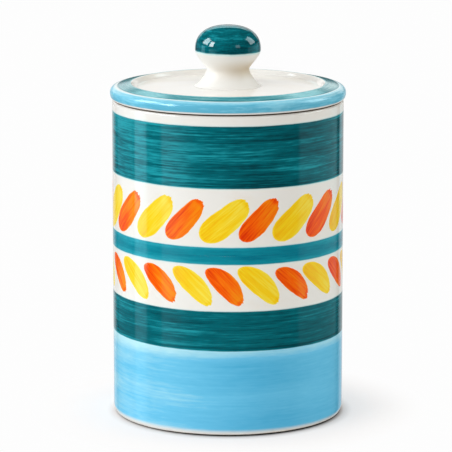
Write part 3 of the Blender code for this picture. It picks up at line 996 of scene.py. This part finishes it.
def jar_glaze():
    """Brushed bands and dabs on a warm white ground, under one clear glaze."""
    graph = Graph(bpy.data.materials.new("jar_glaze"))
    point = graph.place()
    x, y, z = point
    u = graph.math("ARCTAN2", x, 0.0 - y) * JAR_RADIUS
    radius = graph.length(x, y)
    waver = graph.streaks(point, JAR_WAVER, 3.0, 0.6) - 0.5
    level = z + x * (BAND_DROOP / JAR_RADIUS) + waver * JAR_EDGE_WAVER
    # Painted shade: colour lies thicker and darker towards the right, away from the light
    side_shade = x * (SIDE_SHADE / JAR_RADIUS)
    full_front = graph.stripe(u, FULL_PLACE, FULL_HALF_WIDTH) * FULL_LOAD

    ground = ground_glaze(graph, point)
    dabbed, dab_relief = dabbed_white(graph, u, z, ground, side_shade)
    streaks = pigment(graph, point, TEAL_STREAK) + side_shade + full_front - TEAL_THINNING
    lower_teal, upper_teal = teal_bands(graph, level, streaks)
    mid_teal = mid_band(graph, point, level, side_shade + full_front)
    blue = blue_band(graph, point, level, side_shade, full_front)

    colour = graph.mix(above(graph, level, FOOT_WHITE, FOOT_WHITE_SOFTNESS), ground, blue)
    for edge, paint, fringe in (
        (BLUE_TOP, lower_teal, 0.0),
        (LOWER_TEAL_TOP, dabbed, -FRINGE),
        (LOWER_WHITE_TOP, mid_teal, FRINGE),
        (MID_TEAL_TOP, dabbed, -FRINGE),
        (UPPER_WHITE_TOP, upper_teal, FRINGE),
    ):
        colour = banded(graph, level, colour, edge, paint, fringe)
    rim_level = level - x * ((BAND_DROOP - RIM_DROOP) / JAR_RADIUS)
    colour = banded(graph, rim_level, colour, UPPER_TEAL_TOP, ground, -FRINGE)
    outside = graph.step(radius, JAR_RADIUS - JAR_WALL / 2, JAR_RADIUS - RIM_OUTER_ROUND)
    colour = graph.mix(outside, ground, colour)
    relief = (dab_relief - (streaks - EVEN_LOAD) * JAR_BRUSH_HEIGHT) * outside
    return glazed(graph, point, colour, jar_bare_and_shade(graph, z, radius, waver), 0.0, relief)


def lid_glaze():
    """A white dish inside a teal ring, with a light blue roll that ends in a white lip."""
    graph = Graph(bpy.data.materials.new("lid_glaze"))
    point = graph.place()
    x, y, z = point
    radius = graph.length(x, y)
    waver = graph.streaks(point, LID_WAVER, 3.0, 0.6) - 0.5
    reach = radius + waver * LID_EDGE_WAVER
    height_up = z - LIP_LEVEL + waver * LIP_EDGE_WAVER

    ground = ground_glaze(graph, point)
    streaks = pigment(graph, (x, y, radius - z), RING_STREAK)
    ring_load = toned(streaks, RING_CONTRAST)
    for edge, more in RING_EDGES:
        ring_load = graph.stripe(reach, edge, RING_EDGE_HALF_WIDTH) * more + ring_load
    ring = brushed(graph, ring_load, LID_TEAL)
    # The roll grows darker down from the ridge towards the lip
    down_the_roll = graph.step(reach - height_up, RIDGE_RADIUS - RIDGE_HEIGHT, LID_RADIUS - ROLL_WIDEST_HEIGHT)
    roll_load = toned(pigment(graph, (y, x, radius - z), ROLL_STREAK), ROLL_CONTRAST, ROLL_LOAD)
    roll = brushed(graph, roll_load + down_the_roll * ROLL_DARKER_DOWN, LID_BLUE)

    colour = graph.mix(above(graph, reach, CREST_RADIUS - RING_INSET), ground, ring)
    colour = graph.mix(above(graph, reach, RIDGE_RADIUS - ROLL_INSET), colour, roll)
    # Painted highlight along the ridge, widening towards the left, over the thin glaze's white line
    line_half_width = x * -RIDGE_HIGHLIGHT_WIDENING + RIDGE_LINE_HALF_WIDTH
    ridge_line_and_highlight = graph.stripe(reach, RIDGE_RADIUS + RIDGE_LINE_OFFSET, line_half_width)
    colour = graph.mix(ridge_line_and_highlight, colour, linear(RIDGE_GLAZE_AND_HIGHLIGHT))
    colour = graph.mix(above(graph, height_up, LIP_WHITE_TOP, LIP_WHITE_SOFTNESS), ground, colour)
    # The lip's underside is unglazed dark clay, partly painted shade in the seam
    under = 1.0 - graph.step(z, LIP_LEVEL, LIP_LEVEL + LIP_GLAZE_START)
    bare_and_shade = under * graph.step(radius, SEAL_FLANGE_RADIUS - RIM_INNER_ROUND, SEAL_FLANGE_RADIUS)
    rougher = graph.step(radius, RIDGE_RADIUS, RIDGE_RADIUS + ROLL_MATT_WIDTH) * ROLL_ROUGHER
    relief = (streaks - EVEN_LOAD) * -LID_BRUSH_HEIGHT
    return glazed(graph, point, colour, bare_and_shade, rougher, relief)


def knob_glaze():
    """A brushed teal crown over a cream neck, both with painted shade towards the right."""
    graph = Graph(bpy.data.materials.new("knob_glaze"))
    point = graph.place()
    x, y, z = point
    radius = graph.length(x, y)
    waver = graph.streaks(point, KNOB_WAVER) - 0.5
    level = z - KNOB_LEVEL + waver * KNOB_EDGE_WAVER + x * (KNOB_BAND_DROOP / KNOB_RADIUS)

    # Painted shade: the glaze that pools round the neck grows browner towards the right, under the crown
    pool_and_shade = graph.stripe(level, POOL_AND_SHADE_MIDDLE, POOL_AND_SHADE_HALF_HEIGHT) * (x * (0.5 / KNOB_NECK_RADIUS) + 0.5)
    ground = graph.mix(pool_and_shade, linear(WHITE), linear(NECK_POOL_AND_SHADE_WHITE))
    streaks = pigment(graph, (x, y, radius * CROWN_STREAK_SLOPE - z), CROWN_STREAK)
    edge = graph.stripe(level, KNOB_PAINT_HEIGHT, KNOB_EDGE_HALF_WIDTH) * KNOB_EDGE_THINNING
    # Painted shade: the crown darker just above its lower edge and towards the right
    lower_shade = 1.0 - graph.step(level, *[KNOB_PAINT_HEIGHT + height for height in KNOB_LOWER_SHADE_HEIGHTS])
    load = toned(streaks, KNOB_CONTRAST) - edge + lower_shade * KNOB_LOWER_SHADE
    crown = brushed(graph, load + x * (KNOB_SIDE_SHADE / KNOB_RADIUS), TEAL)

    near_top = graph.step(level, *[KNOB_HEIGHT - depth for depth in KNOB_TOP_DEPTHS])
    outside = graph.step(radius, KNOB_BORE_RADIUS, KNOB_BORE_RADIUS + KNOB_BORE_EDGE)
    outside = graph.math("MAXIMUM", outside, near_top)
    painted = above(graph, level, KNOB_PAINT_HEIGHT)
    colour = graph.mix(painted * outside, ground, crown)
    bleed = graph.stripe(level, KNOB_PAINT_HEIGHT - FRINGE / 2, FRINGE * 1.4) * outside
    colour = graph.mix(bleed * KNOB_FRINGE_SHARE, colour, linear(TEAL_FRINGE))

    roughness = gloss(graph, point, KNOB_ROUGHNESS) + (1.0 - painted) * NECK_ROUGHER
    height = ripple(graph, point) - (streaks - EVEN_LOAD) * KNOB_BRUSH_HEIGHT
    return graph.finish(colour, roughness, height)


def silicone():
    """Pale silicone with a soft bloom and the mould's fine matt grain."""
    graph = Graph(bpy.data.materials.new("seal_silicone"))
    point = graph.place()
    grain = graph.streaks(point, SILICONE_GRAIN, 3.0)
    bloom = graph.streaks(point, SILICONE_BLOOM)
    graph.shader.inputs["Subsurface Weight"].default_value = SILICONE_GLOW_SHARE
    graph.shader.inputs["Subsurface Radius"].default_value = SILICONE_GLOW_DEPTHS
    graph.shader.inputs["Subsurface Scale"].default_value = 1.0
    roughness = between(*SILICONE_ROUGHNESS, bloom)
    return graph.finish(brushed(graph, bloom, SILICONE), roughness, grain * SILICONE_GRAIN_HEIGHT)


def build_pieces():
    """The four pieces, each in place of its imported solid."""
    jar = turned("glazed_jar", jar_outline(), 0.0, JAR_SIDES, jar_wobble, JAR_RADIUS - JAR_WALL / 2)
    lid = turned("dished_lid", lid_outline(), LIP_LEVEL, LID_SIDES, lid_wobble)
    knob = turned("mushroom_knob", knob_outline(), KNOB_LEVEL, KNOB_SIDES, still)
    seal = turned("silicone_seal", seal_outline(), LIP_LEVEL, LID_SIDES, still)
    rows = (
        (jar, "jar_body", "jar", "jar_glaze", jar_glaze()),
        (lid, "lid", "lid", "lid_glaze", lid_glaze()),
        (knob, "lid_knob", "lid", "knob_glaze", knob_glaze()),
        (seal, "seal_ring", "lid", "seal_silicone", silicone()),
    )
    for piece, node, body, slot, material in rows:
        piece.data.materials.append(material)
        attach(piece, body)
        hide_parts(node)


def direct_view(graph):
    """One for rays that see a surface straight from the camera or in a reflection."""
    path = graph.node("ShaderNodeLightPath")
    seen = graph.field(path, "Is Camera Ray")
    for kind in ("Is Glossy Ray", "Is Transmission Ray"):
        seen = graph.math("MAXIMUM", seen, graph.field(path, kind))
    return seen


def paper_material():
    """Matt white paper with a painted contact shadow round the foot, seen as plain white away from the
    jar.
    """
    graph = Graph(bpy.data.materials.new("paper"))
    x, y = graph.place()[:2]
    away = graph.step(graph.length(x, y), *PAPER_FADE)
    seen = direct_view(graph)
    matt = graph.node("ShaderNodeBsdfDiffuse")
    # Painted shadow round the foot: a dark ring, a little off centre, and no glow near it
    past_foot = graph.length(x - SHADOW_RING_SHIFT[0], y - SHADOW_RING_SHIFT[1]) - FOOT_RADIUS
    outside_shadow_ring = graph.step(past_foot, *SHADOW_RING_EDGE)
    paper_seen = graph.mix(outside_shadow_ring, (0.0, 0.0, 0.0, 1.0), (*PAPER_SEEN_ALBEDO, 1.0))
    graph.feed(matt.inputs["Color"], graph.mix(seen, (*PAPER_ALBEDO, 1.0), paper_seen))
    glow = graph.step(past_foot, *GLOW_SHADOW_EDGE) * seen * PAPER_GLOW
    glow = graph.node("ShaderNodeEmission", (1.0, 1.0, 1.0, 1.0), glow)
    near = graph.node("ShaderNodeAddShader", graph.field(matt), graph.field(glow))
    plain = graph.node("ShaderNodeEmission", (*BACKGROUND, 1.0))
    mixed = graph.node("ShaderNodeMixShader", away * seen, graph.field(near), graph.field(plain))
    graph.tree.nodes.remove(graph.shader)
    output = graph.tree.nodes["Material Output"]
    graph.tree.links.new(mixed.outputs[0], output.inputs["Surface"])
    return graph.owner


def build_floor():
    """White paper that runs back under the jar, and that reflections don't see."""
    half = PAPER_HALF_WIDTH
    corners = [(-half, -half, 0.0), (half, -half, 0.0), (half, PAPER_BACK, 0.0), (-half, PAPER_BACK, 0.0)]
    mesh = bpy.data.meshes.new("paper")
    mesh.from_pydata(corners, [], [(0, 1, 2, 3)])
    mesh.materials.append(paper_material())
    paper = add_object("paper", mesh)
    paper.visible_glossy = False


def studio_light(graph, turn, rise):
    """What reflections see, in red, green and blue: a dark room with a backdrop, panels and boxes."""
    from_front = graph.math("ABSOLUTE", turn)
    behind = graph.step(from_front, *BACKDROP_EDGE) * graph.window(rise, BACKDROP_RISE, BACKDROP_FADE)
    beside = graph.window(from_front, SIDE_PANEL_START, SIDE_PANEL_END)
    beside = beside * (1.0 - graph.step(rise, *SIDE_PANEL_FADE))
    channels = [behind * BACKDROP_RADIANCE + beside * SIDE_PANEL_RADIANCE + ROOM_RADIANCE] * 3
    low_part = between(FLOOR_SHARE, 1.0, graph.step(rise, *FLOOR_FADE))
    for left, right, left_soft, right_soft, bottom, top, radiance in SOFT_BOXES:
        wide = graph.window(turn, (left, left + left_soft), (right - right_soft, right))
        tall = graph.window(rise, (bottom, bottom + BOX_SOFTNESS), (top - BOX_SOFTNESS, top))
        box = wide * tall * low_part
        channels = [box * value + so_far for value, so_far in zip(radiance, channels)]
    return channels


def build_world():
    """Soft light all round, the studio in reflections, and plain white behind the canister."""
    world = bpy.data.worlds.new("studio")
    bpy.context.scene.world = world
    graph = Graph(world)
    x, y, z = graph.place("Generated")
    turn = graph.math("ARCTAN2", x, 0.0 - y) * math.degrees(1.0)
    rise = graph.math("ARCSINE", z) * math.degrees(1.0)
    reflected = graph.field(graph.node("ShaderNodeCombineColor", *studio_light(graph, turn, rise)))

    path = graph.node("ShaderNodeLightPath")
    from_camera = graph.field(path, "Is Camera Ray")
    in_reflection = graph.field(path, "Is Glossy Ray")
    background = graph.tree.nodes["Background"]
    ambient_share = between(*AMBIENT_SHARES, graph.step(z, *AMBIENT_SLOPES))
    plain = graph.math("MAXIMUM", from_camera, in_reflection)
    graph.feed(background.inputs["Strength"], between(ambient_share, 1.0, plain))
    ambient = graph.mix(x * 0.5 + 0.5, (*AMBIENT_LEFT, 1.0), (*AMBIENT_RIGHT, 1.0))
    seen = graph.mix(in_reflection, ambient, reflected)
    graph.feed(background.inputs["Color"], graph.mix(from_camera, seen, (*BACKGROUND, 1.0)))


def build_lamp(name, turn, rise, size, power, colour):
    """A soft area lamp that faces the middle of the jar. Reflections see the world's boxes instead."""
    light = bpy.data.lights.new(name, "AREA")
    light.shape = "RECTANGLE"
    light.size = size
    light.size_y = size
    light.energy = power
    light.color = colour
    lamp = add_object(name, light)
    turn, rise = math.radians(turn), math.radians(rise)
    aim = Vector((math.sin(turn) * math.cos(rise), -math.cos(turn) * math.cos(rise), math.sin(rise)))
    lamp.location = Vector((0.0, 0.0, JAR_HEIGHT / 2)) + aim * LAMP_DISTANCE
    lamp.rotation_euler = aim.to_track_quat("Z", "Y").to_euler()
    lamp.visible_glossy = False
    lamp.visible_camera = False


def build_camera():
    """A long lens, slightly above the lid, as in the photograph."""
    data = bpy.data.cameras.new("camera")
    data.sensor_width = SENSOR_WIDTH
    data.lens = CAMERA_FOCUS_PIXELS / PICTURE_PIXELS * SENSOR_WIDTH
    data.clip_start = CAMERA_NEAREST
    data.clip_end = CAMERA_FURTHEST
    camera = add_object("camera", data)
    camera.location = CAMERA_PLACE
    camera.rotation_euler = (math.radians(90.0 - CAMERA_DOWN_DEGREES), 0.0, 0.0)
    bpy.context.scene.camera = camera


bpy.context.scene.view_settings.view_transform = "Standard"
build_pieces()
build_floor()
build_world()
for lamp_values in LAMPS:
    build_lamp(*lamp_values)
build_camera()
